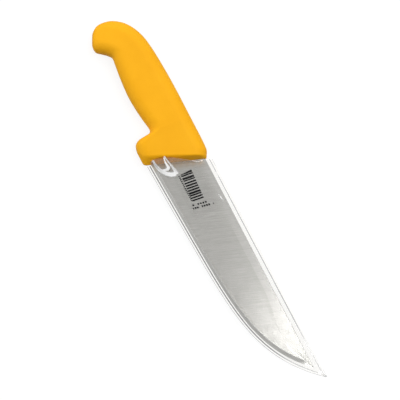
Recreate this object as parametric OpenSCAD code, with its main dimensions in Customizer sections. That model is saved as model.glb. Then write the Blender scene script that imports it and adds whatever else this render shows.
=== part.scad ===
// Butcher's knife with a moulded handle, its blade covered by a clear film sleeve.
// The knife lies on its side: X runs to the tip, Y to the back and Z through the thickness.
// The origin is the point of the handle's lower side that is under the middle of the handle.

/* [Blade] */
// Length of the blade along its back, from the line of the handle's front to the tip
blade_len = 194; // [150:0.5:260]
// Height of the blade at its heel
heel_h = 42; // [36:0.5:52]
// How far the edge closes on the back before its belly curve
edge_rise = 8.1; // [4:0.1:14]
// Sharpness of the belly curve, where a higher number keeps the edge straight for longer
belly_power = 6.4; // [4:0.1:9]
// Thickness of the back at the handle
spine_t = 2.6; // [2:0.1:3.6]
// Thickness of the back at the tip
tip_t = 0.9; // [0.6:0.1:1.6]
// Width of the sharpened bevel along the straight of the edge
bevel_w = 2.2; // [1:0.1:4]
// Width of the sharpened bevel at the tip
tip_bevel_w = 5.6; // [2:0.1:7]
// Thickness of the steel at the shoulder of the bevel
shoulder_t = 0.75; // [0.4:0.05:1]
// Thickness of the cutting edge itself
edge_t = 0.08; // [0.04:0.01:0.2]

/* [Tang] */
// Depth to which the full height of the blade goes into the handle
root_depth = 12; // [8:0.5:15]
// Height of the tang where it leaves the blade
tang_front_h = 22; // [16:0.5:26]
// Height of the tang at its rounded end
tang_end_h = 13; // [9:0.5:18]
// Length of solid handle behind the tang
butt_cover = 36; // [28:1:50]
// Diameter of the locking holes
lock_hole_d = 7; // [4:0.5:9]
// Number of locking holes
lock_holes = 3; // [1:1:4]

/* [Handle] */
// Length of the handle along its back
handle_len = 138; // [114:0.5:166]
// Height of the handle's back above the back of the blade
back_rise = 5; // [2:0.1:8]
// Height of the grip at the palm swell
grip_h = 37.9; // [33:0.1:45]
// Height of the grip at the neck behind the guard
neck_h = 34.8; // [30:0.1:40]
// Height of the grip at the waist in front of the butt hook
waist_h = 34.9; // [29:0.1:38]
// Thickness of the grip, side to side
grip_t = 24; // [20:0.5:28]
// Thickness of the handle where its front starts to round over
front_t = 21; // [18:0.5:26]
// Thickness of the handle where it meets the blade
front_edge_t = 4.4; // [4.2:0.2:8]
// Length of the rounded front at the back, from the sides of the handle to the blade
front_back_len = 3.6; // [3:0.1:9]
// Length of the rounded front at the guard, from the sides of the handle to the blade
front_guard_len = 10.6; // [6:0.1:12]
// Angle by which the front leans from square to the blade
front_lean = 21; // [0:1:28]
// How far the guard reaches below the heel of the blade
guard_drop = 5.7; // [2:0.1:8]
// Length of the guard along its bottom
guard_len = 21.2; // [17:0.1:26]
// How far the butt hook reaches below the waist
hook_drop = 10.3; // [5:0.1:14]
// Rounding of the long edges of the grip
grip_round = 10.5; // [6:0.5:11.5]
// How far the back falls over the rounded front
front_back_fall = 1.9; // [0.5:0.1:1.9]
// Rounding of the front's corner at the guard, seen from the side
front_guard_round = 2; // [1:0.1:5]

/* [Sleeve] */
// Thickness of one film
film_t = 0.25; // [0.15:0.05:0.5]
// Gap between the film and the faces of the blade
film_gap = 0.35; // [0.2:0.05:1]
// Width of the pocket beyond the cutting edge
edge_gap = 1.4; // [1:0.1:4]
// Width of the pocket beyond the back of the blade at the handle
spine_gap = 3; // [2:0.1:8]
// Width of the pocket beyond the back of the blade at the tip
tip_spine_gap = 4.3; // [2:0.1:8]
// Further width of the pocket round the tip of the edge
tip_room = 1.5; // [0:0.1:3]
// Width of the welded border
border_w = 2.1; // [1:0.1:6]
// Gap between the mouth of the sleeve and the handle
mouth_gap = 1; // [0.5:0.1:4]

/* [Label] */
// Length of the label along the blade
label_len = 39; // [20:1:80]
// Height of the label across the blade
label_h = 27; // [15:1:32]
// Thickness of the label
label_t = 0.1; // [0.05:0.01:0.2]
// Distance of the label from the front of the handle
label_from_handle = 2.5; // [2:0.5:40]
// Distance of the label from the back of the blade
label_from_spine = 4; // [2:0.5:10]

/* [Hidden] */
$fn = 64;

steel = [0.72, 0.72, 0.70];
yellow = [0.98, 0.70, 0.10];
clear = [0.86, 0.90, 0.92, 0.35];
paper_white = [0.95, 0.95, 0.95, 0.6];

// Clearance that the cooling plastic leaves round the steel
mould_gap = 0.03;
// Clearance that the adhesive fills under the label
glue_gap = 0.02;

// The knife is drawn with its X, Y and Z zero where the line of the handle's front crosses the
// middle of the blade's back, and place() carries it to the origin of the part.
lean = tan(front_lean);
heel_x = -heel_h * lean;
edge_run = blade_len - heel_x;
tang_y = back_rise - grip_h / 2;
tang_end_x = butt_cover - handle_len;

// Number of cross-sections along the blade and along the sleeve
blade_steps = 44;
sleeve_steps = 44;
// Cross-sections between two guides of the handle, and points on each rounded corner
guide_steps = 4;
corner_steps = 6;
// Cross-sections that round the front
rim_steps = 8;
// Share of the length of the front over which it bends from the sides to its slope
front_bend = 0.55;

module place() {
    translate([handle_len / 2, -tang_y, grip_t / 2]) children();
}

function mix(a, b, t) = a + (b - a) * t;
function unit(v) = v / norm(v);
function flat(rows) = [for (row = rows) each row];

// Two triangles for the cell of a grid whose rows hold n points, wrapped round if closed
function cell(i, j, n, at) =
    let (k = (j + 1) % n, a = at + i * n + j, b = at + i * n + k, c = b + n, d = a + n)
    [[a, b, c], [a, c, d]];

// A solid skinned over closed loops of points, which run clockwise seen from the last one
module skin(loops) {
    n = len(loops[0]);
    last = (len(loops) - 1) * n;
    polyhedron(flat(loops), concat(
        [[for (j = [n - 1:-1:0]) j]],
        [for (i = [0:len(loops) - 2], j = [0:n - 1]) each cell(i, j, n, 0)],
        [[for (j = [0:n - 1]) last + j]]
    ));
}

// A thin solid between two grids of points that lie above each other
module shell(lower, upper) {
    rows = len(lower);
    n = len(lower[0]);
    up = rows * n;
    function wall(a, b) = [[a, b + up, b], [a, a + up, b + up]];
    polyhedron(concat(flat(lower), flat(upper)), concat(
        [for (i = [0:rows - 2], j = [0:n - 2], f = cell(i, j, n, 0)) [f[2], f[1], f[0]]],
        [for (i = [0:rows - 2], j = [0:n - 2]) each cell(i, j, n, up)],
        [for (j = [0:n - 2]) each wall(j + 1, j)],
        [for (j = [0:n - 2]) each wall((rows - 1) * n + j, (rows - 1) * n + j + 1)],
        [for (i = [0:rows - 2]) each wall(i * n, (i + 1) * n)],
        [for (i = [0:rows - 2]) each wall((i + 2) * n - 1, (i + 1) * n - 1)]
    ));
}

// The cutting edge, where q is 0 at the heel and 1 at the tip. Past the tip it runs on straight.
tip_slope = edge_rise + (heel_h - edge_rise) * belly_power;
function edge_y(q) = q > 1 ? tip_slope * (q - 1)
    : edge_rise * q - heel_h + (heel_h - edge_rise) * pow(max(q, 0), belly_power);
function edge_dy(q) = q > 1 ? tip_slope
    : edge_rise + (heel_h - edge_rise) * belly_power * pow(max(q, 0), belly_power - 1);
function edge_point(q) = [heel_x + edge_run * q, edge_y(q)];
function edge_normal(q) = unit([edge_dy(q), -edge_run]);

// Width of the bevel, which grows towards the tip
bevel_growth = 6;
function bevel_at(q) = mix(bevel_w, tip_bevel_w, pow(max(q, 0), bevel_growth));

// One cross-section of the blade from the root, k = 0, to the tip, k = 1, grown by g all round
function blade_section(k, g) =
    let (
        back = [mix(-root_depth, blade_len, k), 0],
        q = mix(-root_depth / edge_run, 1, k),
        edge = edge_point(q),
        up = unit(back - edge),
        shoulder = edge + up * min(bevel_at(q), norm(back - edge) / 2),
        back_z = mix(spine_t, tip_t, k) / 2 + g,
        shoulder_z = min(shoulder_t / 2 + g, back_z),
        e = edge - up * g,
        b = back + up * g
    )
    [[e.x, e.y, edge_t / 2 + g], [shoulder.x, shoulder.y, shoulder_z], [b.x, b.y, back_z],
     [b.x, b.y, -back_z], [shoulder.x, shoulder.y, -shoulder_z], [e.x, e.y, -edge_t / 2 - g]];

// The ground blade with its root, whose sections crowd towards the tip
module ground_blade(g = 0) {
    // Share of the length at which the last section stands, just short of the point
    last = 0.997;
    skin([for (i = [0:blade_steps]) blade_section(last * sin(90 * i / blade_steps), g)]);
}

// Points of the locking holes along the tang
function lock_hole_x(i) =
    mix(-root_depth + tang_y * lean, tang_end_x, (i + 1) / (lock_holes + 0.5));

module lock_pins(d, h) {
    for (i = [0:lock_holes - 1])
        translate([lock_hole_x(i), tang_y, -h / 2]) cylinder(d = d, h = h);
}

// The flat tang, which tapers to a round end
module tang(g = 0) {
    front = tang_front_h / 2 + g;
    end_r = tang_end_h / 2 + g;
    end_x = tang_end_x + tang_end_h / 2;
    thick = spine_t + 2 * g;
    translate([0, 0, -thick / 2]) linear_extrude(thick) {
        polygon([
            [(tang_y + front) * lean - root_depth / 2, tang_y + front],
            [end_x, tang_y + end_r],
            [end_x, tang_y - end_r],
            [(tang_y - front) * lean - root_depth / 2, tang_y - front],
        ]);
        translate([end_x, tang_y]) circle(r = end_r);
    }
}

module blade() {
    color(steel) place() difference() {
        union() {
            ground_blade();
            tang();
        }
        lock_pins(lock_hole_d, 2 * spine_t);
    }
}

// Guides of the handle from its front to its butt. Each holds a point of the back,
// the point of the belly across from it, and half the thickness there.
back_y = back_rise;
neck_y = back_y - neck_h;
guard_y = -heel_h - guard_drop;
guard_end_x = guard_y * lean - guard_len;
neck_x = guard_end_x - 3.2;
butt_x = -handle_len;
waist_x = butt_x + 29;
butt_h = waist_h + hook_drop;
front_back_y = back_y - 2.3;
front_back_x = front_back_y * lean - front_back_len;

// A guide in the collar, a share t of the way from the front to the grip
function collar_guide(t, drop, belly_x, belly_y) =
    [mix(front_back_x, neck_x + 7, t), back_y - drop, belly_x, belly_y, mix(front_t, grip_t, t) / 2];
// A guide in the grip, a share t of the way from the neck to the waist
function grip_guide(t, drop, h) =
    let (x = mix(neck_x, waist_x, t)) [x, back_y - drop, x, back_y - h, grip_t / 2];
// A guide in the butt, measured from its end and by shares of its height and of the hook
function butt_guide(back_dx, back_share, belly_dx, hook_share, thin) =
    [butt_x + back_dx, back_y - back_share * butt_h, butt_x + belly_dx,
     back_y - waist_h - hook_share * hook_drop, grip_t / 2 - thin];
guides = [
    [front_back_x, front_back_y, guard_y * lean - front_guard_len, guard_y, front_t / 2],
    collar_guide(0.1, 0.7, guard_end_x + 10, guard_y),
    collar_guide(0.22, 0.2, guard_end_x + 9, guard_y + 0.1),
    collar_guide(0.42, 0, guard_end_x + 6.2, guard_y + 0.7),
    collar_guide(0.58, 0, guard_end_x + 3.2, guard_y + 2.2),
    collar_guide(0.72, 0, guard_end_x + 0.9, guard_y + 6),
    collar_guide(0.86, 0, guard_end_x + 0.4, mix(guard_y, neck_y, 0.64)),
    collar_guide(1, 0, guard_end_x - 0.2, neck_y - 1.5),
    grip_guide(0, 0, neck_h),
    grip_guide(0.1, 0, neck_h + 0.9),
    grip_guide(0.26, 0, mix(neck_h, grip_h, 0.74)),
    grip_guide(0.48, 0.3, grip_h),
    grip_guide(0.72, 1.1, mix(waist_h, grip_h, 0.66)),
    grip_guide(0.9, 2.1, mix(waist_h, grip_h, 0.18)),
    butt_guide(25.5, 0.085, 29.4, 0, 0),
    butt_guide(15.9, 0.166, 25.2, 0.26, 0.2),
    butt_guide(7.8, 0.29, 21.9, 0.63, 0.8),
    butt_guide(2.2, 0.456, 18.7, 0.96, 2),
    butt_guide(0, 0.622, 14, 1, 3.8),
    butt_guide(0.1, 0.748, 9.9, 0.83, 6.2),
    butt_guide(2.2, 0.838, 6.1, 0.64, 9.2),
];

// A smooth curve through the guides, a share t of the way from guide i to the next
function guide_at(i, t) =
    let (
        a = guides[max(i - 1, 0)],
        b = guides[i],
        c = guides[min(i + 1, len(guides) - 1)],
        d = guides[min(i + 2, len(guides) - 1)]
    )
    (2 * b + (c - a) * t + (2 * a - 5 * b + 4 * c - d) * pow(t, 2) + (3 * b - a - 3 * c + d) * pow(t, 3)) / 2;

// A round-cornered loop across the handle at a guide. For the front it is moved along X a share s
// of the front's length, drawn in at the back and at the belly, and thinned at each side.
function grip_loop(guide, s = 0, back_in = 0, low_in = 0, thin = 0) =
    let (
        back = [guide[0] + front_back_len * s, guide[1]],
        low = [guide[2] + front_guard_len * s, guide[3]],
        up = unit(back - low),
        mid = (back + low + up * (low_in - back_in)) / 2,
        h = (norm(back - low) - back_in - low_in) / 2,
        w = min(guide[4], grip_t / 2) - thin,
        r = min(grip_round, w - 0.4, h - 0.2)
    )
    [for (c = [0:3], s = [0:corner_steps])
        let (
            a = 90 * (c + s / corner_steps),
            y = (h - r) * (c == 0 || c == 3 ? 1 : -1) + r * cos(a),
            z = (w - r) * (c < 2 ? 1 : -1) + r * sin(a)
        )
        [mid.x + up.x * y, mid.y + up.y * y, z]];

// Share of its thickness that the front has lost a share s of the way to the blade
function front_fall(s) =
    let (u = s / front_bend, bent = front_bend * (pow(u, 3) - pow(u, 4) / 2))
    (u < 1 ? bent : s - front_bend / 2) / (1 - front_bend / 2);
// How far the corner at the guard draws the front in, a share s of the way to the blade
function corner_in(s) =
    let (r = front_guard_round, past = max(0, r - front_guard_len * (1 - s)))
    r - sqrt(pow(r, 2) - pow(past, 2));

// The outside of the handle, from its rounded front to the nose of its butt
module handle_form() {
    rim = [for (i = [0:rim_steps])
        let (
            s = cos(90 * i / rim_steps),
            thin = (min(front_t, grip_t) - front_edge_t) / 2 * front_fall(s)
        )
        grip_loop(guides[0], s, front_back_fall * s, corner_in(s), thin)];
    body = [for (i = [0:len(guides) - 2], s = [0:guide_steps - 1])
        if (i > 0 || s > 0) grip_loop(guide_at(i, s / guide_steps))];
    skin(concat(rim, body, [grip_loop(guides[len(guides) - 1])]));
}

module handle() {
    color(yellow) place() difference() {
        handle_form();
        ground_blade(mould_gap);
        difference() {
            tang(mould_gap);
            lock_pins(lock_hole_d - 2 * mould_gap, 3 * spine_t);
        }
    }
}

// The inner face of the film over the blade is a plane that clears the back and the bevel.
// It starts at a fold this far inside the cutting edge.
fold_in = 0.6;
face_top = spine_t / 2 + film_gap;
face_fall_x = (spine_t - tip_t) / 2 / blade_len;
// Point of the edge where the plane comes nearest to the shoulder of the bevel
face_low = edge_point(0.75);
face_fall_y = (face_top - face_fall_x * face_low.x - shoulder_t / 2 - film_gap) / -face_low.y;
function face_z(x, y) = face_top - face_fall_x * x + face_fall_y * min(y, 0);

// How suddenly the pocket widens towards the tip
tip_room_power = 12;
// Ends of the border's outer line and of the weld line, where they cross on the back's side
tip_cos = edge_run / norm([tip_slope, edge_run]);
function meet_q(off, y) = 1 + (y + (off + tip_room) * tip_cos) / tip_slope;
outer_off = edge_gap + border_w;
outer_y = spine_gap + border_w;
outer_q = meet_q(outer_off, tip_spine_gap + border_w);
weld_q = meet_q(edge_gap, tip_spine_gap);
function offset_edge(q, off) =
    edge_point(q) + edge_normal(q) * (off + tip_room * pow(max(0, min(q, 1)), tip_room_power));
outer_tip = offset_edge(outer_q, outer_off);
weld_tip = offset_edge(weld_q, edge_gap);

// Start of a line of the sleeve at the mouth, at a height y
function mouth_x(y) = y * lean + mouth_gap;
function mouth_q(off) = (mouth_x(-heel_h - off) - heel_x) / edge_run;

// One row of the film across the sleeve, lifted by t, from the edge's border to the back's border
function film_row(k, t) =
    let (
        cut = offset_edge(mix(mouth_q(outer_off), outer_q, k), outer_off),
        weld = offset_edge(mix(mouth_q(edge_gap), weld_q, k), edge_gap),
        ridge = [mix(mouth_x(film_gap), weld_tip.x, k), film_gap],
        across = unit(ridge - weld),
        fold = weld + across * min(edge_gap + fold_in, norm(ridge - weld) / 2),
        past_tip = max(0, ridge.x - blade_len) / (weld_tip.x - blade_len),
        closing = 1 - past_tip,
        back_weld = mix([mouth_x(spine_gap), spine_gap], weld_tip, k),
        back_cut = mix([mouth_x(outer_y), outer_y], outer_tip, k)
    )
    [[cut.x, cut.y, t], [weld.x, weld.y, t], [fold.x, fold.y, t + closing * face_z(fold.x, fold.y)],
     [ridge.x, ridge.y, t + closing * face_z(ridge.x, ridge.y)], [back_weld.x, back_weld.y, t],
     [back_cut.x, back_cut.y, t]];

// One film of the sleeve, above the middle plane of the blade
module film() {
    // Shares of the length at which the pocket is closed and the film is cut off
    last = 0.985;
    tip_cut = 0.995;
    function rows(t) = [for (i = [0:sleeve_steps]) film_row(last * sin(90 * i / sleeve_steps), t)];
    // The welded corner past the pocket, up to the blunt point of the sleeve
    function end_row(row, t) = [for (j = [0:5]) [each mix([row[0].x, row[0].y], [row[5].x, row[5].y], j / 5), t]];
    function closed_rows(t) = concat(rows(t), [end_row(film_row(tip_cut, t), t)]);
    shell(closed_rows(0), closed_rows(film_t));
}

module sleeve_front_film() {
    color(clear) place() film();
}

module sleeve_back_film() {
    color(clear) place() mirror([0, 0, 1]) film();
}

// The label lies flat on the outer face of the front film
module clear_label() {
    x0 = label_from_handle;
    y1 = -label_from_spine;
    function rows(t) = [for (x = [x0, x0 + label_len])
        [for (y = [y1 - label_h, y1]) [x, y, face_z(x, y) + film_t + glue_gap + t]]];
    color(paper_white) place() shell(rows(0), rows(label_t));
}

blade();
handle();
sleeve_front_film();
sleeve_back_film();
clear_label();
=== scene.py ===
"""Looks of a butcher's knife in a clear film sleeve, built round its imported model.

Lengths are millimetres until placed() turns them to metres in the part's frame.
X runs to the tip, Y to the back of the blade and Z through its thickness, and all three are
zero where the line of the handle's front crosses the middle of the blade's back.
"""
import math

import bmesh
import bpy
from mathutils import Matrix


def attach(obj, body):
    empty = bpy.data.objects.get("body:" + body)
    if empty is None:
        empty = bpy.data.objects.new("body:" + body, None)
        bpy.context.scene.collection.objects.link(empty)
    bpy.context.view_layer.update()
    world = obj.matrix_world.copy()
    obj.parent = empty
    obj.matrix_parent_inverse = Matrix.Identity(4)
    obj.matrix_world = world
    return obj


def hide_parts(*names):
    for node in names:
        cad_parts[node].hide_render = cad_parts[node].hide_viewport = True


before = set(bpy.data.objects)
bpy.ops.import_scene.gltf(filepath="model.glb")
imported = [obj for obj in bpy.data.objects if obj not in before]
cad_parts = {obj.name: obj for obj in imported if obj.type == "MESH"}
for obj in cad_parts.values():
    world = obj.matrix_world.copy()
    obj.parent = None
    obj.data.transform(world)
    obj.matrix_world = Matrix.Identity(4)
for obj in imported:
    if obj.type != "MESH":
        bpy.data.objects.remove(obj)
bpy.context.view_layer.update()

MM = 0.001

# Blade
blade_len = 194.0
heel_h = 42.0
edge_rise = 8.1
belly_power = 6.4
spine_t = 2.6
tip_t = 0.9
edge_t = 0.08
bevel_w = 2.2
tip_bevel_w = 5.6
bevel_growth = 6.0
# Where the bevel fades out, a little before the tip, by distance along X
bevel_runs_out = (185.0, 188.5)
shoulder_t = 0.75
spine_ease = 0.25
swage_fall = -0.017
hollow = 0.02
hollow_w = 3.2
root_depth = 12.0
# Where the swage starts along the back, where it is fully ground and from where it widens
swage_from_x, swage_full_x, swage_widens_x = 51.5, 67.5, 111.5
swage_mid_w = 6.6
swage_tip_w = 10.5

# Tang
tang_front_h = 22.0
tang_end_h = 13.0
butt_cover = 36.0
lock_hole_d = 7.0
lock_holes = 3
mould_gap = 0.03

# Handle
handle_len = 138.0
back_rise = 5.0
grip_h = 37.9
neck_h = 34.8
waist_h = 34.9
grip_t = 24.0
front_t = 21.0
front_edge_t = 4.4
front_back_len = 3.6
front_guard_len = 10.6
front_bend = 0.55
front_lean = 21.0
guard_drop = 5.7
guard_len = 21.2
hook_drop = 10.3
grip_round = 10.5
front_back_fall = 1.9
front_guard_round = 2.0
seam_h = 0.07
seam_w = 0.35
neck_behind_guard = 3.2
collar_past_neck = 7.0
waist_from_butt = 29.0
front_back_drop = 2.3

# Sleeve
film_t = 0.25
film_gap = 0.35
edge_gap = 1.4
spine_gap = 3.0
tip_spine_gap = 4.3
tip_room = 1.5
border_w = 2.1
mouth_gap = 1.0
fold_in = 0.6
tip_room_power = 12.0

# Label
label_len = 39.0
label_h = 27.0
label_t = 0.1
label_from_handle = 2.5
label_from_spine = 4.0
label_round = 2.5
glue_gap = 0.02

lean = math.tan(math.radians(front_lean))
heel_x = -heel_h * lean
edge_run = blade_len - heel_x
tang_y = back_rise - grip_h / 2
tang_end_x = butt_cover - handle_len


# Small geometry
def placed(point):
    x, y, z = point
    return ((x + handle_len / 2) * MM, (y - tang_y) * MM, (z + grip_t / 2) * MM)


def between(a, b, t):
    return a + (b - a) * t


def between_points(a, b, t):
    return tuple(between(p, q, t) for p, q in zip(a, b))


def clamped(x, low=0.0, high=1.0):
    return max(low, min(high, x))


def eased(low, high, x):
    t = clamped((x - low) / (high - low))
    return t * t * (3 - 2 * t)


def hump(x, middle, half_width):
    """1 at the middle, falling smoothly to 0 a half width away."""
    return 1 - eased(0, half_width, abs(x - middle))


def strip(x, low, high, soft):
    """1 from low to high, with soft sides."""
    return eased(low - soft, low, x) * (1 - eased(high, high + soft, x))


def soft_max(a, b, soft):
    return (a + b + math.sqrt((a - b) ** 2 + soft**2)) / 2


def unit(x, y):
    length = math.hypot(x, y)
    return x / length, y / length


def through(stops, x):
    """The value at x of a smooth line through (x, value) stops."""
    if x <= stops[0][0]:
        return stops[0][1]
    if x >= stops[-1][0]:
        return stops[-1][1]
    i = max(j for j in range(len(stops) - 1) if stops[j][0] <= x)
    before = stops[max(i - 1, 0)]
    a, b = stops[i], stops[i + 1]
    after = stops[min(i + 2, len(stops) - 1)]
    run = b[0] - a[0]
    t = (x - a[0]) / run
    slope_a = (b[1] - before[1]) / (b[0] - before[0]) * run
    slope_b = (after[1] - a[1]) / (after[0] - a[0]) * run
    return (
        a[1] * (1 - 3 * t**2 + 2 * t**3)
        + b[1] * (3 * t**2 - 2 * t**3)
        + slope_a * (t - 2 * t**2 + t**3)
        + slope_b * (t**3 - t**2)
    )


# Meshes
def new_piece(name, points, faces):
    """A closed mesh with its faces turned outwards."""
    mesh = bpy.data.meshes.new(name)
    mesh.from_pydata([placed(p) for p in points], [], faces)
    work = bmesh.new()
    work.from_mesh(mesh)
    bmesh.ops.recalc_face_normals(work, faces=work.faces)
    work.to_mesh(mesh)
    work.free()
    mesh.shade_smooth()
    obj = bpy.data.objects.new(name, mesh)
    bpy.context.scene.collection.objects.link(obj)
    return obj


def lofted(name, loops):
    """A solid skinned over closed loops of points."""
    n = len(loops[0])
    points = [p for loop in loops for p in loop]
    last = (len(loops) - 1) * n
    faces = [tuple(range(n)), tuple(range(last, last + n))]
    for i in range(len(loops) - 1):
        for j in range(n):
            k = (j + 1) % n
            faces.append((i * n + j, i * n + k, (i + 1) * n + k, (i + 1) * n + j))
    return new_piece(name, points, faces)


def thin_sheet(name, lower, upper):
    """A thin solid between two grids of points."""
    rows, n = len(lower), len(lower[0])
    up = rows * n
    points = [p for row in lower + upper for p in row]
    faces = []
    for i in range(rows - 1):
        for j in range(n - 1):
            a, b, c, d = i * n + j, i * n + j + 1, (i + 1) * n + j + 1, (i + 1) * n + j
            faces += [(a, b, c, d), (a + up, b + up, c + up, d + up)]
    rim = list(range(n))
    rim += [i * n + n - 1 for i in range(1, rows)]
    rim += [(rows - 1) * n + j for j in range(n - 2, -1, -1)]
    rim += [i * n for i in range(rows - 2, 0, -1)]
    for a, b in zip(rim, rim[1:] + rim[:1]):
        faces.append((a, b, b + up, a + up))
    return new_piece(name, points, faces)


def cut_with(obj, tool, operation):
    """obj joined with or cut by another solid, which is used up."""
    step = obj.modifiers.new(operation, "BOOLEAN")
    step.operation = operation
    step.solver = "EXACT"
    step.object = tool
    shown = obj.evaluated_get(bpy.context.evaluated_depsgraph_get())
    result = bpy.data.meshes.new_from_object(shown)
    obj.modifiers.clear()
    old = obj.data
    obj.data = result
    result.name = obj.name
    bpy.data.meshes.remove(old)
    bpy.data.objects.remove(tool)
    return obj


def crisp_edges(obj, degrees):
    obj.data.shade_smooth()
    obj.data.set_sharp_from_angle(angle=math.radians(degrees))


def finished(obj, material, body, node):
    obj.data.materials.clear()
    obj.data.materials.append(material)
    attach(obj, body)
    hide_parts(node)
    return obj


# Shader maths
class Wire:
    """A socket of a node tree. Arithmetic on it adds Math nodes."""

    def __init__(self, finish, socket):
        self.finish = finish
        self.socket = socket

    def maths(self, operation, *values):
        sockets = dict(enumerate(values))
        return self.finish.node("Math", {"operation": operation}, sockets)

    def __add__(self, other):
        return self.maths("ADD", self, other)

    def __radd__(self, other):
        return self.maths("ADD", other, self)

    def __sub__(self, other):
        return self.maths("SUBTRACT", self, other)

    def __rsub__(self, other):
        return self.maths("SUBTRACT", other, self)

    def __mul__(self, other):
        return self.maths("MULTIPLY", self, other)

    def __rmul__(self, other):
        return self.maths("MULTIPLY", other, self)

    def __truediv__(self, other):
        return self.maths("DIVIDE", self, other)

    def __pow__(self, other):
        return self.maths("POWER", self, other)

    def whole(self):
        return self.maths("FLOOR", self)

    def part(self):
        return self.maths("FRACT", self)

    def over(self, limit):
        return self.maths("GREATER_THAN", self, limit)

    def most(self, other):
        return self.maths("MAXIMUM", self, other)

    def least(self, other):
        return self.maths("MINIMUM", self, other)

    def rising(self, low, high):
        """0 below low, 1 above high and smooth between."""
        return self.finish.node(
            "MapRange",
            {"interpolation_type": "SMOOTHSTEP"},
            {"Value": self, "From Min": low, "From Max": high},
        )

    def inside(self, low, high, soft):
        return self.rising(low - soft, low + soft) * (1 - self.rising(high - soft, high + soft))


class Finish:
    """The node tree of one material or of the world."""

    def __init__(self, owner):
        owner.use_nodes = True
        self.owner = owner
        self.tree = owner.node_tree
        self.tree.nodes.clear()

    def node(self, kind, settings, sockets, output=0):
        """A node of one kind, with its settings, then its sockets. Gives one of its outputs."""
        made = self.tree.nodes.new("ShaderNode" + kind)
        for name, value in settings.items():
            setattr(made, name, value)
        for name, value in sockets.items():
            if isinstance(value, Wire):
                self.tree.links.new(value.socket, made.inputs[name])
            else:
                made.inputs[name].default_value = value
        if not made.outputs:
            return None
        return Wire(self, made.outputs[output])

    def colours(self, share, first, second):
        settings = {"data_type": "RGBA"}
        return self.node("Mix", settings, {0: share, 6: first, 7: second}, 2)

    def place(self):
        """The point on the surface, in the part's frame in metres."""
        return self.node("TexCoord", {}, {}, "Object")

    def axes(self, vector):
        split = self.node("SeparateXYZ", {}, {"Vector": vector})
        outputs = split.socket.node.outputs
        return [Wire(self, outputs[i]) for i in range(3)]

    def drawn(self):
        """X, Y and Z of the point on the surface, in the knife's own millimetres."""
        x, y, z = self.axes(self.place())
        return x / MM - handle_len / 2, y / MM + tang_y, z / MM - grip_t / 2

    def vector(self, x, y, z):
        return self.node("CombineXYZ", {}, {"X": x, "Y": y, "Z": z})

    def grain(self, where, scale, detail=3.0, rough=0.5):
        sockets = {"Vector": where, "Scale": scale, "Detail": detail, "Roughness": rough}
        return self.node("TexNoise", {}, sockets, "Fac")

    def mask(self, name):
        """A value that the mesh holds at its points."""
        return self.node("Attribute", {"attribute_name": name}, {}, "Fac")

    def bump(self, height, strength, distance):
        sockets = {"Height": height, "Strength": strength, "Distance": distance}
        return self.node("Bump", {}, sockets)

    def surface(self, shader):
        self.node("OutputMaterial", {}, {"Surface": shader})
        return self.owner


def new_finish(name):
    return Finish(bpy.data.materials.new(name))


def colour(red, green, blue):
    return (red, green, blue, 1.0)


# Finishes
def moulded_plastic():
    """Yellow plastic with a fine spark-eroded grain and faint clouding."""
    plastic = new_finish("moulded_yellow_plastic")
    where = plastic.place()
    clouds = plastic.grain(where, 45.0, 4.0, 0.6)
    grain = plastic.grain(where, 2600.0, 2.0, 0.6)
    rubs = plastic.grain(where, 240.0, 5.0, 0.7)
    body = plastic.colours(
        clouds.rising(0.3, 0.7), colour(0.93, 0.43, 0.005), colour(0.96, 0.455, 0.007)
    )
    flecked = plastic.colours(rubs.rising(0.62, 0.78) * 0.15, body, colour(0.97, 0.5, 0.02))
    shader = plastic.node(
        "BsdfPrincipled",
        {},
        {
            "Base Color": flecked,
            "Roughness": 0.5 + 0.1 * grain + 0.06 * rubs,
            "Normal": plastic.bump(grain, 0.22, 0.00006),
            "Specular IOR Level": 0.14,
        },
    )
    return plastic.surface(shader)


def brushed_steel():
    """Stainless steel whose grinding lines run across the blade, along the guard."""
    steel = new_finish("cross_brushed_steel")
    x, y, z = steel.drawn()
    across = x - y * lean
    fine = steel.grain(steel.vector(across * 5.2, y * 0.16, z * 0.2), 1.0, 3.0, 0.65)
    coarse = steel.grain(steel.vector(across * 1.1, y * 0.035, z * 0.2), 1.0, 2.0, 0.5)
    stains = steel.grain(steel.vector(x * 0.05, y * 0.05, z), 1.0, 3.0, 0.5)
    lines = fine * 0.65 + coarse * 0.35
    streaks = lines.rising(0.3, 0.7)
    flat = steel.colours(streaks, colour(0.315, 0.313, 0.303), colour(0.438, 0.436, 0.422))
    widening = (x - swage_widens_x).most(0.0)
    width = (swage_mid_w + 0.003 * widening * widening).least(swage_tip_w)
    ground = x.rising(53.0, 68.0)
    swage = (y + width).rising(-0.15, 0.15) * ground + y.rising(-10.0, -3.0) * (1 - ground)
    # Painted sheen: the swage, and the back near the handle before it, get a lighter tone where their tilt
    # catches more light
    painted_sheen_tone = steel.colours(streaks, colour(0.355, 0.353, 0.343), colour(0.49, 0.488, 0.473))
    q = ((x - heel_x) / edge_run).most(0.0).least(1.0)
    edge_height = edge_rise * q - heel_h + (heel_h - edge_rise) * q**belly_power
    bevel = bevel_w + (tip_bevel_w - bevel_w) * q**bevel_growth
    honed = 1 - ((y - edge_height) / bevel).rising(0.95, 1.1)
    honed = honed * (1 - x.rising(*bevel_runs_out))
    tone = steel.colours(honed, steel.colours(swage, flat, painted_sheen_tone), colour(0.5, 0.5, 0.49))
    shader = steel.node(
        "BsdfPrincipled",
        {},
        {
            "Base Color": tone,
            "Metallic": 0.7,
            "Roughness": 0.15 + 0.06 * fine + 0.05 * stains + 0.16 * honed,
            "Normal": steel.bump(lines, 0.15, 0.00004),
        },
    )
    return steel.surface(shader)


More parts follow.
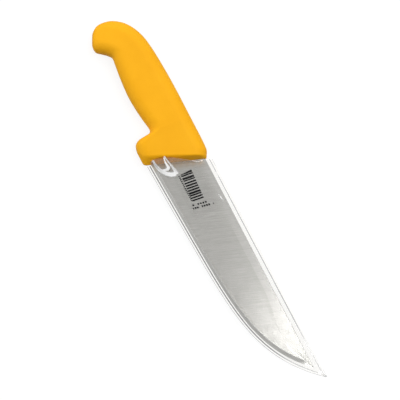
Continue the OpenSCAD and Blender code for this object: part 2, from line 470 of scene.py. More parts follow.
def clear_film():
    """Clear film, grey along its welds, painted white as highlights along its creases, and by the mouth
    painted brown as a reflection of the handle's shaded front, over a rubbed veil.
    """
    film = new_finish("clear_sleeve_film")
    crease_highlight = film.mask("crease_highlight")
    weld = film.mask("weld")
    painted_handle_tint = film.mask("painted_handle_tint")
    rub_and_reflection = film.mask("rub_and_reflection")
    ripple = film.grain(film.place(), 210.0, 2.0, 0.4)
    marked = crease_highlight.most(weld).most(0.28 * rub_and_reflection)
    # White marks the painted highlights along the creases, grey the darker welds
    tone = film.colours(weld, colour(0.99, 0.99, 0.99), colour(0.16, 0.16, 0.165))
    # Over the rim the film is rubbed dull, and the veil's brownish tone is partly a painted reflection of
    # the rim's shade
    tone = film.colours(rub_and_reflection.rising(0.0, 0.3) * (1 - crease_highlight), tone, colour(0.65, 0.56, 0.45))
    bumped = film.bump(ripple, 0.12, 0.0004)
    # A painted crease highlight on the upper side is lit as if it lay flat, whichever way it is folded
    upward = film.axes(film.node("NewGeometry", {}, {}, "Normal"))[2].over(0.0)
    normals = {0: crease_highlight * upward, 4: bumped, 5: (0.0, 0.0, 1.0)}
    gloss = film.node(
        "BsdfPrincipled",
        {},
        {
            "Base Color": tone,
            "Metallic": 1 - marked.rising(0.02, 0.2),
            "Roughness": 0.08 + 0.22 * marked,
            "Normal": film.node("Mix", {"data_type": "VECTOR"}, normals, 1),
        },
    )
    clear = film.node("BsdfTransparent", {}, {"Color": colour(0.988, 0.986, 0.981)})
    # Painted reflection: by the mouth the film passes light tinted brown, as if it reflected the handle's
    # shaded front
    handle_tinted = film.node("BsdfTransparent", {}, {"Color": colour(0.965, 0.9, 0.83)})
    clear = film.node("MixShader", {}, {0: painted_handle_tint, 1: clear, 2: handle_tinted})
    # Clean film gleams only where it is seen at a low angle
    graze = film.node("LayerWeight", {}, {"Blend": 0.5}, "Facing")
    gleam = 0.8 * (graze**5.0 - 0.1).most(0.0)
    share = (gleam + 0.9 * marked).least(0.94)
    return film.surface(film.node("MixShader", {}, {0: share, 1: clear, 2: gloss}))


# Print of the label: a plain ladder of bars and rows of short dashes that say nothing
bars_from_x, bars_to_x = 1.7, 28.2
bars_low_y, bars_high_y = -24.1, -14.4
bar_pitch = 2.2
bar_skew = 0.14
bar_drift = 0.055
row_skew = 0.22
print_mid_y = -20.0
side_step = 1.6


def printed_label():
    """Clear label with dark bars and dashes."""
    label = new_finish("printed_clear_label")
    x, y, _ = label.drawn()

    def chance(cell):
        return label.node("TexWhiteNoise", {"noise_dimensions": "1D"}, {"W": cell}, "Value")

    along = x - (y - print_mid_y) * bar_skew
    spot = (along - bars_from_x) / bar_pitch
    thick = 0.44 + 0.38 * chance(spot.whole() + 17.0)
    bars = spot.part().inside(0.1, thick + 0.1, 0.06)
    drift = y + bar_drift * (along - bars_from_x)
    bars = bars * along.inside(bars_from_x, bars_to_x, 0.05) * drift.inside(bars_low_y, bars_high_y, 0.1)

    def dashes(middle, half, low_y, high_y, step):
        """A row of short dashes across the label."""
        row = (x - (y - print_mid_y) * row_skew).inside(middle - half, middle + half, 0.06)
        cell = y / step
        gaps = chance(cell.whole() + 40.0).over(0.2) * cell.part().inside(0.1, 0.72, 0.06)
        return row * gaps * y.inside(low_y, high_y, 0.05)

    ink = bars.most(dashes(middle=30.9, half=0.7, low_y=-27.8, high_y=-15.2, step=2.1))
    ink = ink.most(dashes(middle=33.6, half=0.75, low_y=-27.9, high_y=-10.8, step=1.9))
    side_row = y.inside(-26.5, -25.3, 0.06) * along.inside(3.6, 26.5, 0.05)
    ink = ink.most(side_row * (along / side_step).part().inside(0.15, 0.7, 0.06) * 0.8)
    worn = label.grain(label.place(), 1800.0, 3.0, 0.6)
    ink = ink * (0.92 + 0.08 * worn.rising(0.35, 0.6))
    inked = label.node(
        "BsdfPrincipled",
        {},
        {
            "Base Color": colour(0.008, 0.008, 0.009),
            "Specular IOR Level": 0.15,
            "Roughness": 0.3 + 0.2 * worn,
        },
    )
    clear = label.node("BsdfTransparent", {}, {"Color": colour(0.99, 0.99, 0.99)})
    return label.surface(label.node("MixShader", {}, {0: 0.95 * ink, 1: clear, 2: inked}))


def white_floor():
    """White paper that keeps a light shadow and shows white to the camera and to shiny surfaces."""
    paper = new_finish("white_paper_floor")
    fibres = paper.grain(paper.place(), 900.0, 3.0, 0.6)
    lit = paper.node(
        "BsdfDiffuse",
        {},
        {"Color": paper.colours(fibres, colour(0.28, 0.28, 0.28), colour(0.32, 0.32, 0.32))},
    )
    faint = paper.node("BsdfDiffuse", {}, {"Color": colour(0.2, 0.2, 0.2)})
    glow = paper.node("Emission", {}, {"Color": colour(1, 1, 1), "Strength": 0.84})
    seen = paper.node("AddShader", {}, {0: faint, 1: glow})
    rays = paper.node("LightPath", {}, {}, "Is Camera Ray")
    outputs = rays.socket.node.outputs
    looked_at = rays
    for kind in ("Is Glossy Ray", "Is Transmission Ray"):
        looked_at = looked_at.most(Wire(paper, outputs[kind]))
    return paper.surface(paper.node("MixShader", {}, {0: looked_at, 1: lit, 2: seen}))


# Blade
tip_slope = edge_rise + (heel_h - edge_rise) * belly_power


def edge_y(q):
    """Height of the cutting edge, from the heel at q = 0 to the tip at q = 1, and straight past it."""
    if q > 1:
        return tip_slope * (q - 1)
    return edge_rise * q - heel_h + (heel_h - edge_rise) * max(q, 0.0) ** belly_power


def edge_slope(q):
    if q > 1:
        return tip_slope
    return edge_rise + (heel_h - edge_rise) * belly_power * max(q, 0.0) ** (belly_power - 1)


def edge_point(q):
    return heel_x + edge_run * q, edge_y(q)


def edge_normal(q):
    return unit(edge_slope(q), -edge_run)


# Width of the swage along the back, by distance from the handle
swage_line = [
    (swage_from_x, 0.0), (swage_full_x, 6.4), (swage_widens_x, swage_mid_w), (122.5, 7.1), (135.5, 8.4),
    (144.5, 9.6), (169.5, swage_tip_w),
]


def blade_loop(k, grow, plain):
    """One closed section of the blade from the root, k = 0, to the tip, k = 1.

    A plain section has only the bevel, and the grown one cuts the slot in the handle.
    """
    back = (between(-root_depth, blade_len, k), 0.0)
    q = between(-root_depth / edge_run, 1, k)
    edge = edge_point(q)
    tall = math.dist(back, edge)
    up = unit(back[0] - edge[0], back[1] - edge[1])
    back_z = between(spine_t, tip_t, k) / 2
    bevel = min(between(bevel_w, tip_bevel_w, max(q, 0.0) ** bevel_growth), tall / 2)
    shoulder_z = min(shoulder_t / 2, back_z)
    swage = max(min(through(swage_line, back[0]), tall * 0.3), 2 * spine_ease)
    ground = eased(swage_from_x, swage_full_x, back[0])
    swage_z = between(back_z, shoulder_z, swage / (tall - bevel))
    spine_z = between(back_z, swage_z - swage * swage_fall, ground)
    edge_z = between(edge_t / 2, shoulder_z, eased(*bevel_runs_out, edge[0]))
    dip = hollow * ground
    if plain:
        spine_z, dip = back_z, 0.0

    def face(height):
        return between(shoulder_z, swage_z, (height - bevel) / (tall - swage - bevel)) + grow

    def at(height, half):
        return edge[0] + up[0] * height, edge[1] + up[1] * height, half

    ease = min(spine_ease, spine_z * 0.5)
    hollow_in = min(hollow_w, (tall - swage - bevel) * 0.4)
    mid_face = between(bevel, tall - swage, 0.4)
    profile = [
        at(-grow, edge_z + grow),
        at(bevel, shoulder_z + grow),
        at(mid_face, face(mid_face)),
        at(tall - swage - hollow_in, face(tall - swage - hollow_in) - dip),
        at(tall - swage, swage_z + grow),
        at(tall - ease, spine_z + grow),
        at(tall + grow, spine_z - ease + grow),
    ]
    return profile + [(x, y, -half) for x, y, half in reversed(profile)]


def ground_blade(name, grow=0.0, plain=False):
    steps = 150
    last = 0.9985
    shares = [last * math.sin(math.pi / 2 * i / steps) for i in range(steps + 1)]
    return lofted(name, [blade_loop(k, grow, plain) for k in shares])


def round_bar(name, x, y, radius, half):
    points = 48
    ring = [2 * math.pi * i / points for i in range(points)]
    return lofted(
        name,
        [
            [(x + radius * math.cos(a), y + radius * math.sin(a), z) for a in ring]
            for z in (-half, half)
        ],
    )


def tang_outline(grow):
    """The flat tang seen from its side, tapering to a round end."""
    front = tang_front_h / 2 + grow
    end_r = tang_end_h / 2 + grow
    end_x = tang_end_x + tang_end_h / 2
    points = [((tang_y + front) * lean - root_depth / 2, tang_y + front)]
    for i in range(25):
        a = math.pi / 2 + math.pi * i / 24
        points.append((end_x + end_r * math.cos(a), tang_y + end_r * math.sin(a)))
    points.append(((tang_y - front) * lean - root_depth / 2, tang_y - front))
    return points


def tang(name, grow, hole_d):
    half = spine_t / 2 + grow
    made = lofted(name, [[(x, y, z) for x, y in tang_outline(grow)] for z in (-half, half)])
    first_x = -root_depth + tang_y * lean
    for i in range(lock_holes):
        x = between(first_x, tang_end_x, (i + 1) / (lock_holes + 0.5))
        hole = round_bar("lock_hole", x, tang_y, hole_d / 2, 2 * spine_t)
        cut_with(made, hole, "DIFFERENCE")
    return made


def make_blade():
    blade = ground_blade("ground_blade")
    cut_with(blade, tang("tang", 0.0, lock_hole_d), "UNION")
    crisp_edges(blade, 0.3)
    return finished(blade, brushed_steel(), "knife", "blade")


# Handle
back_y = back_rise
neck_y = back_y - neck_h
guard_y = -heel_h - guard_drop
guard_end_x = guard_y * lean - guard_len
neck_x = guard_end_x - neck_behind_guard
collar_end_x = neck_x + collar_past_neck
butt_x = -handle_len
waist_x = butt_x + waist_from_butt
butt_h = waist_h + hook_drop
front_back_y = back_y - front_back_drop
front_back_x = front_back_y * lean - front_back_len


def collar_guide(t, drop, belly_x, belly_y):
    """A guide a share t of the way from the front to the grip."""
    half = between(front_t, grip_t, t) / 2
    return between(front_back_x, collar_end_x, t), back_y - drop, belly_x, belly_y, half


def grip_guide(t, drop, height):
    """A guide a share t of the way from the neck to the waist."""
    x = between(neck_x, waist_x, t)
    return x, back_y - drop, x, back_y - height, grip_t / 2


def butt_guide(back_dx, back_share, belly_dx, hook_share, thin):
    """A guide in the butt, by shares of its height and of the hook."""
    low = back_y - waist_h - hook_share * hook_drop
    return butt_x + back_dx, back_y - back_share * butt_h, butt_x + belly_dx, low, grip_t / 2 - thin


# Each guide holds a point of the back, the point of the belly across from it and half the thickness
guides = [
    (front_back_x, front_back_y, guard_y * lean - front_guard_len, guard_y, front_t / 2),
    collar_guide(0.1, 0.7, guard_end_x + 10, guard_y),
    collar_guide(0.22, 0.2, guard_end_x + 9, guard_y + 0.1),
    collar_guide(0.42, 0, guard_end_x + 6.2, guard_y + 0.7),
    collar_guide(0.58, 0, guard_end_x + 3.2, guard_y + 2.2),
    collar_guide(0.72, 0, guard_end_x + 0.9, guard_y + 6),
    collar_guide(0.86, 0, guard_end_x + 0.4, between(guard_y, neck_y, 0.64)),
    collar_guide(1, 0, guard_end_x - 0.2, neck_y - 1.5),
    grip_guide(0, 0, neck_h),
    grip_guide(0.1, 0, neck_h + 0.9),
    grip_guide(0.26, 0, between(neck_h, grip_h, 0.74)),
    grip_guide(0.48, 0.3, grip_h),
    grip_guide(0.72, 1.1, between(waist_h, grip_h, 0.66)),
    grip_guide(0.9, 2.1, between(waist_h, grip_h, 0.18)),
    butt_guide(25.5, 0.085, 29.4, 0, 0),
    butt_guide(15.9, 0.166, 25.2, 0.26, 0.2),
    butt_guide(7.8, 0.29, 21.9, 0.63, 0.8),
    butt_guide(2.2, 0.456, 18.7, 0.96, 2),
    butt_guide(0, 0.622, 14, 1, 3.8),
    butt_guide(0.1, 0.748, 9.9, 0.83, 6.2),
    butt_guide(2.2, 0.838, 6.1, 0.64, 9.2),
]


def guide_at(i, t):
    """A smooth curve through the guides, a share t of the way from guide i to the next."""
    last = len(guides) - 1
    four = [guides[clamped(i + step, 0, last)] for step in (-1, 0, 1, 2)]
    return tuple(
        (2 * b + (c - a) * t + (2 * a - 5 * b + 4 * c - d) * t**2 + (3 * b - a - 3 * c + d) * t**3) / 2
        for a, b, c, d in zip(*four)
    )


def grip_loop(guide, s=0.0, back_in=0.0, low_in=0.0, thin=0.0, seam=1.0):
    """A round-cornered loop across the handle, with the thin seam that its mould leaves.

    For the front it is moved along X a share s of the front's length, drawn in at the back
    and at the belly, and thinned at its sides.
    """
    corner_steps = 12
    side_steps = 5
    back = (guide[0] + front_back_len * s, guide[1])
    low = (guide[2] + front_guard_len * s, guide[3])
    up = unit(back[0] - low[0], back[1] - low[1])
    shift = (low_in - back_in) / 2
    middle = ((back[0] + low[0]) / 2 + up[0] * shift, (back[1] + low[1]) / 2 + up[1] * shift)
    h = (math.dist(back, low) - back_in - low_in) / 2
    w = min(guide[4], grip_t / 2) - thin
    r = min(grip_round, w - 0.4, h - 0.2)
    half_seam = min(seam_w / 2, (w - r) * 0.9)
    quarter = [(h + seam_h * seam, 0.0), (h, half_seam)]
    for i in range(corner_steps + 1):
        a = math.pi / 2 * i / corner_steps
        quarter.append((h - r + r * math.cos(a), w - r + r * math.sin(a)))
    for i in range(1, side_steps):
        quarter.append(((h - r) * (1 - i / side_steps), w))
    half = quarter + [(0.0, w)] + [(-y, z) for y, z in reversed(quarter)]
    ring = half + [(y, -z) for y, z in reversed(half[1:-1])]
    return [(middle[0] + up[0] * y, middle[1] + up[1] * y, z) for y, z in ring]


def front_fall(s):
    """Share of its thickness that the front has lost a share s of the way to the blade."""
    u = s / front_bend
    fall = front_bend * (u**3 - u**4 / 2) if u < 1 else s - front_bend / 2
    return fall / (1 - front_bend / 2)


def front_half(s):
    """Half the thickness of the front a share s of the way to the blade."""
    return front_t / 2 - (front_t - front_edge_t) / 2 * front_fall(s)


def corner_in(s):
    """How far the corner at the guard draws the front in, a share s of the way to the blade."""
    r = front_guard_round
    past = max(0.0, r - front_guard_len * (1 - s))
    return r - math.sqrt(r**2 - past**2)


def handle_loops():
    rim_steps = 18
    guide_steps = 9
    nose_steps = 5
    nose_in, nose_slope = 2.2, 0.32
    loops = []
    for i in range(rim_steps + 1):
        s = math.cos(math.pi / 2 * i / rim_steps)
        thin = front_t / 2 - front_half(s)
        loops.append(grip_loop(guides[0], s, front_back_fall * s, corner_in(s), thin, i / rim_steps))
    for i in range(len(guides) - 1):
        for s in range(guide_steps):
            if i > 0 or s > 0:
                loops.append(grip_loop(guide_at(i, s / guide_steps)))
    last = guides[-1]
    forward = unit(last[1] - last[3], last[2] - last[0])
    for i in range(nose_steps + 1):
        share = i / nose_steps
        inset = nose_in * share
        out = nose_slope * nose_in * (share - share**2 / 2)
        loop = grip_loop(last, 0.0, inset, inset, inset)
        loops.append([(x - forward[0] * out, y - forward[1] * out, z) for x, y, z in loop])
    return loops


def make_handle():
    handle = lofted("moulded_handle", handle_loops())
    slot = ground_blade("slot", mould_gap, True)
    cut_with(slot, tang("tang_slot", mould_gap, lock_hole_d - 2 * mould_gap), "UNION")
    cut_with(handle, slot, "DIFFERENCE")
    crisp_edges(handle, 40)
    return finished(handle, moulded_plastic(), "knife", "handle")


# Sleeve
face_top = spine_t / 2 + film_gap
face_fall_x = (spine_t - tip_t) / 2 / blade_len
# The film's faces fall from the back to the bevel's shoulder three quarters of the way to the tip
face_low = edge_point(0.75)
face_fall_y = (face_top - face_fall_x * face_low[0] - shoulder_t / 2 - film_gap) / -face_low[1]
outer_off = edge_gap + border_w
outer_y = spine_gap + border_w


def face_z(x, y):
    """Height of the film's inner face over the blade."""
    return face_top - face_fall_x * x + face_fall_y * min(y, 0.0)


def meet_q(off, y):
    slant = edge_run / math.hypot(tip_slope, edge_run)
    return 1 + (y + (off + tip_room) * slant) / tip_slope


outer_q = meet_q(outer_off, tip_spine_gap + border_w)
weld_q = meet_q(edge_gap, tip_spine_gap)


def offset_edge(q, off):
    x, y = edge_point(q)
    nx, ny = edge_normal(q)
    out = off + tip_room * clamped(q) ** tip_room_power
    return x + nx * out, y + ny * out


outer_tip = offset_edge(outer_q, outer_off)
weld_tip = offset_edge(weld_q, edge_gap)


def mouth_x(y):
    return y * lean + mouth_gap


def mouth_q(off):
    return (mouth_x(-heel_h - off) - heel_x) / edge_run


def film_lines(k):
    """Points of the film's lines across the sleeve: cut, weld, fold, ridge, back weld, back cut."""
    cut = offset_edge(between(mouth_q(outer_off), outer_q, k), outer_off)
    weld = offset_edge(between(mouth_q(edge_gap), weld_q, k), edge_gap)
    ridge = (between(mouth_x(film_gap), weld_tip[0], k), film_gap)
    width = math.dist(ridge, weld)
    fold = between_points(weld, ridge, min(edge_gap + fold_in, width / 2) / width)
    closing = 1 - max(0.0, ridge[0] - blade_len) / (weld_tip[0] - blade_len)
    back_weld = between_points((mouth_x(spine_gap), spine_gap), weld_tip, k)
    back_cut = between_points((mouth_x(outer_y), outer_y), outer_tip, k)
    return [
        (*cut, 0.0),
        (*weld, 0.0),
        (*fold, closing * face_z(*fold)),
        (*ridge, closing * face_z(*ridge)),
        (*back_weld, 0.0),
        (*back_cut, 0.0),
    ]


# How dark each line of the sleeve is, by distance along X
def no_mark(x):
    return 0.0


def edge_cut_mark(x):
    return 0.8 - 0.28 * strip(x, 184.0, 196.0, 16.0)


def edge_weld_mark(x):
    return 1.0 - 0.58 * eased(160.0, 184.0, x)


back_weld_stops = [
    (0.0, 0.6), (13.0, 0.5), (15.5, 0.2), (18.0, 0.5), (30.0, 0.68), (110.0, 0.72), (150.0, 0.72),
    (165.0, 0.5), (172.0, 0.22), (181.0, 0.2), (190.0, 0.4), (200.0, 0.45),
]


def back_weld_mark(x):
    return through(back_weld_stops, x)


def back_cut_mark(x):
    return 0.04 + 0.32 * (1 - eased(6.0, 12.0, x)) + 0.15 * eased(195.0, 200.0, x)


# Shares of each stretch between two lines at which the film has points, with the mark there
edge_border = [
    (0, edge_cut_mark), (0.1, edge_cut_mark), (0.14, no_mark), (0.45, no_mark), (0.8, no_mark),
    (0.84, edge_weld_mark),
]
edge_gap_side = [
    (0, edge_weld_mark), (0.17, edge_weld_mark), (0.21, no_mark), (0.45, no_mark), (0.72, no_mark),
]
face_steps = 88
over_blade = [(i / face_steps, no_mark) for i in range(face_steps)]
back_gap_side = [
    (0, no_mark), (0.25, no_mark), (0.5, no_mark), (0.75, no_mark), (0.86, no_mark), (0.89, back_weld_mark),
]
back_border = [
    (0, back_weld_mark), (0.08, back_weld_mark), (0.12, no_mark), (0.5, no_mark), (0.86, no_mark),
    (0.9, back_cut_mark), (1, back_cut_mark),
]
stretches = [edge_border, edge_gap_side, over_blade, back_gap_side, back_border]

# The mouth is drawn by distance from the handle's front, along X, at each height Y.
# Where the free edge of the front film lies
lip_line = [
    (-43.6, 1.0), (-42.4, 0.8), (-41.2, -2.2), (-39.0, -3.6), (-36.0, -4.5), (-32.6, -5.2),
    (-28.6, -5.8), (-22.0, -3.4), (-15.2, -1.2), (-10.3, 0.2), (-5.0, 0.8), (0.0, 1.0),
]
# Where the film comes down on the blade
touch_line = [
    (-43.6, 1.2), (-42.0, 1.5), (-40.2, 1.9), (-39.2, 3.0), (-38.0, 6.0), (-36.4, 8.9), (-33.9, 11.2),
    (-30.5, 12.4), (-27.6, 12.3), (-25.4, 10.6), (-22.0, 8.9), (-15.0, 6.5), (-10.0, 4.5), (-5.0, 2.9),
    (0.0, 2.0),
]
lip_gap = 0.3
lip_reach = 14.0
mouth_reach = lip_reach + 2
# The fold on the right of the raised tongue, by height Y and distance from the handle's front
fold_start = (-28.9, -5.4)
fold_end = (-25.4, 9.8)
fold_depth = 1.7
fold_half_w = 1.5
# The film stands off the blade in a flare by its back
flare_y, flare_half_w, flare_h = -7.0, 5.5, 1.3
ripple_h = 0.18
# A short crease towards the back, by X and Y of its ends
crease_start = (24.0, -11.2)
crease_end = (37.7, -1.0)
crease_h = 0.3
# Creases round the tongue, painted white as highlights, by X, Y and half width along each
tongue_crease_highlights = [
    [
        (-17.6, -39.0, 0.9), (-13.7, -38.8, 1.2), (-9.9, -37.8, 1.3), (-6.3, -36.0, 1.3),
        (-3.3, -33.6, 1.5), (-1.2, -30.9, 1.7), (-0.4, -28.4, 1.7), (-1.0, -26.9, 1.4),
    ],
    [
        (-16.4, -28.9, 0.5), (-10.9, -28.0, 0.6), (-6.3, -27.1, 0.8), (-2.0, -26.4, 1.2),
        (-0.6, -26.2, 1.2),
    ],
    [
        (-15.4, -29.9, 0.5), (-12.1, -30.4, 0.7), (-9.1, -30.3, 1.0), (-7.1, -30.2, 1.3),
        (-6.4, -31.4, 1.2), (-6.6, -33.4, 1.0), (-7.8, -35.8, 0.6),
    ],
]
# Heights between which the film is loose over the blade and can crease
pocket_low_y, pocket_high_y = -43.2, 2.5
# How far a weld stands up where it is darkest, and how dark the sleeve's last cut is
bead_h = 0.1
tip_cut_mark = 0.45
# A height under all the others
far_below = -99.0


def front_len_at(y):
    """Length of the handle's rounded front at a height."""
    share = clamped((front_back_y - y) / (front_back_y - guard_y))
    return between(front_back_len, front_guard_len, share)


def rim_z(d, y):
    """Height of film that lies on the rounded front of the handle, or none in front of it."""
    if d >= lip_gap:
        return far_below
    return front_half(clamped(1 + d / front_len_at(y))) + lip_gap


def taut_z(d, y, touch, floor_z):
    """Height of film that is pulled straight from the rim to the point where it touches the blade."""
    if d >= touch:
        return floor_z
    rim_points = 24
    spots = [-front_len_at(y) * i / rim_points for i in range(rim_points + 1)]
    slope, leaves_d = max(((rim_z(spot, y) - floor_z) / (touch - spot), spot) for spot in spots)
    if d <= leaves_d:
        return rim_z(d, y)
    return soft_max(floor_z + slope * (touch - d), floor_z, 0.5)


def fold_y(d):
    share = (d - fold_start[1]) / (fold_end[1] - fold_start[1])
    return between(fold_start[0], fold_end[0], share)


def near_line(points, x, y):
    """How near a point is to a line of points with half widths: 1 on it and 0 beside it."""
    nearest = 0.0
    for (ax, ay, a_half), (bx, by, b_half) in zip(points, points[1:]):
        run, rise = bx - ax, by - ay
        t = clamped(((x - ax) * run + (y - ay) * rise) / (run**2 + rise**2))
        away = math.hypot(x - ax - run * t, y - ay - rise * t)
        nearest = max(nearest, 1 - eased(0.8, 1.25, away / between(a_half, b_half, t)))
    return nearest


def ripples(y, d):
    """Small waves of the film by the mouth."""
    fade = strip(y, -24.5, -2.5, 2.5) * (1 - eased(-3.0, 2.0, d + y * lean))
    waves = math.sin(0.95 * y + 0.5 * d) + 0.6 * math.sin(1.7 * y - 0.9 * d + 1.0)
    return ripple_h * fade * (1.6 + waves)


def crease_line(x, y):
    """Share along a short crease towards the back, and distance from it."""
    length = math.dist(crease_start, crease_end)
    ux, uy = unit(crease_end[0] - crease_start[0], crease_end[1] - crease_start[1])
    dx, dy = x - crease_start[0], y - crease_start[1]
    return (dx * ux + dy * uy) / length, dy * ux - dx * uy


def front_lift(x, y, z):
    """Height of the front film's inner face, with its mouth drawn over the handle's rim."""
    d = x - y * lean
    along, aside = crease_line(x, y)
    z += crease_h * hump(aside, 0, 0.9) * strip(along, 0.84, 0.97, 0.1)
    if d > mouth_reach:
        return z
    held = 1 - eased(-16.0, -5.0, y)
    lifted = taut_z(d, y, through(touch_line, y), z)
    valley = fold_depth * hump(y, fold_y(d), fold_half_w) * strip(d, -3.0, 8.5, 2.0)
    lifted = soft_max(lifted - valley, z, 0.25)
    side = eased(-43.6, -41.6, y)
    z = z + (lifted - z) * held * side
    flare = flare_h * hump(y, flare_y, flare_half_w) * (1 - eased(0.4, 3.6, d))
    z = z + ripples(y, d) + flare
    return max(z, rim_z(d, y))


def front_crease_highlights(x, y):
    """How white the front film is painted at a point, as highlights along its creases and a thin white arc
    by the mouth.
    """
    d = x - y * lean
    along, aside = crease_line(x, y)
    white = hump(aside, 0, 0.8) * strip(along, 0.78, 0.98, 0.06)
    if d > mouth_reach:
        return white
    for points in tongue_crease_highlights:
        white = max(white, near_line(points, x, y))
    # A painted highlight: a thin white arc where the film lifts by the mouth
    arc_d = 2.0 - 1.7 * ((y + 6.5) / 4.0) ** 2
    white = max(white, strip(y, -10.0, -3.0, 0.8) * hump(d, arc_d, 0.6))
    return clamped(white)


def mouth_painted_handle_tint(x, y):
    """How strongly the front film by the mouth is painted brown, as a reflection of the handle's shaded
    front.
    """
    d = x - y * lean
    streaks = 0.75 + 0.25 * math.sin(1.3 * y + 0.8 * d)
    return streaks * (1 - eased(-0.5, 8.5, d)) * strip(y, -41.5, -3.0, 1.5)


def mouth_rub_and_reflection(x, y):
    """How dull the front film is rubbed at a point over the rim of the handle, its veil partly painted
    brownish as a reflection of the rim's shade.
    """
    d = x - y * lean
    return eased(-6.0, -2.0, d) * (1 - eased(-0.5, 3.0, d)) * strip(y, -41.5, -4.0, 1.5)


def back_lift(x, y, z):
    """Height of the back film's inner face, a little open at the mouth."""
    d = x - y * lean
    gape = strip(y, -40.0, -4.0, 4.0) * (1 - eased(1.0, 9.0, d))
    return z + 0.5 * gape * (1 + 0.4 * math.sin(0.5 * y))


def back_crease_highlights(x, y):
    """How white the back film is painted at a point, as a highlight along a crease by the mouth."""
    d = x - y * lean
    return 0.45 * strip(y, -40.0, -4.0, 3.0) * hump(d, 6.0 + 1.5 * math.sin(0.4 * y), 0.7)


def film_rows():
    """Shares along the sleeve at which the film has rows: close together by the mouth and the tip."""
    mouth_rows = 44
    mouth_share = 0.088
    far_rows = 84
    last = 0.985
    near = [mouth_share * i / mouth_rows for i in range(mouth_rows)]
    far = [
        between(mouth_share, last, math.sin(math.pi / 2 * i / far_rows)) for i in range(far_rows + 1)
    ]
    return near + far


def film(name, front):
    """One film of the sleeve, with the marks of its welds, painted crease highlights, rubbing and painted
    handle reflection at its points.
    """
    side = 1 if front else -1
    lower, upper = [], []
    marks = {"weld": [], "crease_highlight": [], "painted_handle_tint": [], "rub_and_reflection": []}

    def add_row(points):
        low_row, high_row = [], []
        for x, y, z, mark in points:
            low_row.append((x, y, side * z))
            high_row.append((x, y, side * (z + film_t + bead_h * mark)))
            loose = pocket_low_y < y < pocket_high_y
            white = front_crease_highlights(x, y) if front else back_crease_highlights(x, y)
            marks["weld"].append(mark)
            marks["crease_highlight"].append(white if loose else 0.0)
            marks["painted_handle_tint"].append(mouth_painted_handle_tint(x, y) if front else 0.0)
            marks["rub_and_reflection"].append(mouth_rub_and_reflection(x, y) if front else 0.0)
        lower.append(low_row)
        upper.append(high_row)

    for k in film_rows():
        lines = film_lines(k)
        row = []
        for stretch, first, second in zip(stretches, lines, lines[1:]):
            in_pocket = stretch in (edge_gap_side, over_blade)
            for share, mark in stretch:
                x, y, z = between_points(first, second, share)
                if front and in_pocket:
                    from_mouth = max(x - mouth_x(y), 0.0)
                    pull = max(0.0, 1 - from_mouth / lip_reach) ** 2
                    x += (through(lip_line, y) - mouth_gap) * pull
                    z = front_lift(x, y, z)
                elif in_pocket:
                    z = back_lift(x, y, z)
                row.append((x, y, z, mark(x)))
        add_row(row)
    last_cut = 0.995
    lines = film_lines(last_cut)
    count = len(lower[0])
    end = []
    for j in range(count):
        x, y, _ = between_points(lines[0], lines[-1], j / (count - 1))
        end.append((x, y, 0.0, tip_cut_mark))
    add_row(end)
    made = thin_sheet(name, lower, upper)
    for title, values in marks.items():
        layer = made.data.attributes.new(title, "FLOAT", "POINT")
        layer.data.foreach_set("value", values + values)
    crisp_edges(made, 30)
    return made


def make_sleeve():
    material = clear_film()
    finished(film("front_film", True), material, "sleeve", "sleeve_front_film")
    finished(film("back_film", False), material, "sleeve", "sleeve_back_film")


# Label
def make_label():
    rows, columns = 80, 56
    lower, upper = [], []
    for i in range(rows + 1):
        x = label_from_handle + label_len * i / rows
        end = min(x - label_from_handle, label_from_handle + label_len - x)
        cut = label_round - math.sqrt(max(label_round**2 - max(label_round - end, 0.0) ** 2, 0.0))
        low_y = -label_from_spine - label_h + cut
        high_y = -label_from_spine - cut
        ys = [between(low_y, high_y, j / columns) for j in range(columns + 1)]
        heights = [front_lift(x, y, face_z(x, y)) + film_t + glue_gap for y in ys]
        lower.append([(x, y, z) for y, z in zip(ys, heights)])
        upper.append([(x, y, z + label_t) for y, z in zip(ys, heights)])
    label = thin_sheet("printed_label", lower, upper)
    crisp_edges(label, 30)
    finished(label, printed_label(), "sleeve", "clear_label")


# Stage
view_turn = math.radians(62.55)
view_middle = (97.17, -5.58, 12.0)
view_width = 330.0
view_height = 620.0
right = (math.cos(view_turn), math.sin(view_turn))
up_page = (-right[1], right[0])
wall_level = 1.24
ceiling_level = 1.06


def by_page(aside, upward, height):
    """A point by its distances in metres from the picture's middle: right, up and to the camera."""
    x, y, z = (value * MM for value in view_middle)
    return (
        x + right[0] * aside + up_page[0] * upward,
        y + right[1] * aside + up_page[1] * upward,
        z + height,
    )


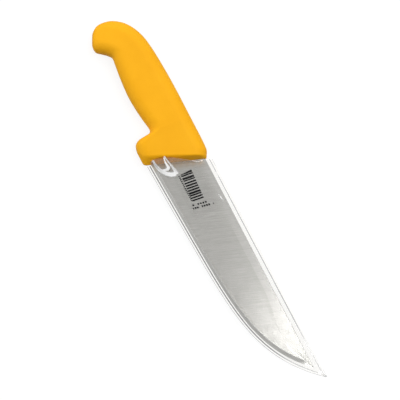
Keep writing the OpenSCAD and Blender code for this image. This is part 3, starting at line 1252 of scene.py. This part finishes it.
def make_camera():
    lens = bpy.data.cameras.new("camera")
    lens.sensor_width = 36.0
    lens.lens = lens.sensor_width * view_height / view_width
    lens.clip_start = 0.01
    camera = bpy.data.objects.new("camera", lens)
    camera.location = by_page(0, 0, view_height * MM)
    camera.rotation_euler = (0, 0, view_turn)
    bpy.context.scene.collection.objects.link(camera)
    bpy.context.scene.camera = camera


def make_floor():
    half = 3.0
    mesh = bpy.data.meshes.new("floor")
    mesh.from_pydata(
        [(-half, -half, 0), (half, -half, 0), (half, half, 0), (-half, half, 0)], [], [(0, 1, 2, 3)]
    )
    floor = bpy.data.objects.new("floor", mesh)
    mesh.materials.append(white_floor())
    bpy.context.scene.collection.objects.link(floor)


def soft_panel(name, aside, upward, height, turn, width, length, power):
    """A large lamp that faces down, turned from the page's upright."""
    lamp = bpy.data.lights.new(name, "AREA")
    lamp.shape = "RECTANGLE"
    lamp.size = width
    lamp.size_y = length
    lamp.energy = power
    panel = bpy.data.objects.new(name, lamp)
    panel.location = by_page(aside, upward, height)
    panel.rotation_euler = (0, 0, view_turn + math.radians(turn))
    panel.visible_camera = False
    bpy.context.scene.collection.objects.link(panel)


def make_light():
    """A soft white room with a greyer ceiling and a shaded side down the page, and one long panel."""
    world = bpy.data.worlds.new("studio")
    bpy.context.scene.world = world
    sky = Finish(world)
    x, y, z = sky.axes(sky.node("TexCoord", {}, {}, "Generated"))
    down_page = x * -up_page[0] + y * -up_page[1]
    aside = x * right[0] + y * right[1]
    overhead = (0.937 * z - 0.35 * down_page).rising(0.7, 0.88)
    raised = z.rising(0.0, 0.04)
    forward = 0.954 * down_page + 0.3 * aside
    across = 0.3 * down_page - 0.954 * aside
    shade = (forward - 0.7 * across * across).rising(-0.17, 0.0)
    walls = wall_level - wall_level * shade
    room = walls + (ceiling_level - walls) * overhead
    level = 1 + (room - 1) * raised
    glow = sky.node("Background", {}, {"Color": colour(1, 1, 1), "Strength": level})
    sky.node("OutputWorld", {}, {"Surface": glow})
    soft_panel(
        "side_panel", aside=0.98, upward=-0.05, height=2.5, turn=-26.6, width=0.84, length=1.8, power=25.0
    )


make_camera()
make_floor()
make_light()
make_blade()
make_handle()
make_sleeve()
make_label()
bpy.context.scene.view_settings.view_transform = "Standard"
# Room for rays through both films and the label, on their way in and out
bpy.context.scene.cycles.transparent_max_bounces = 24
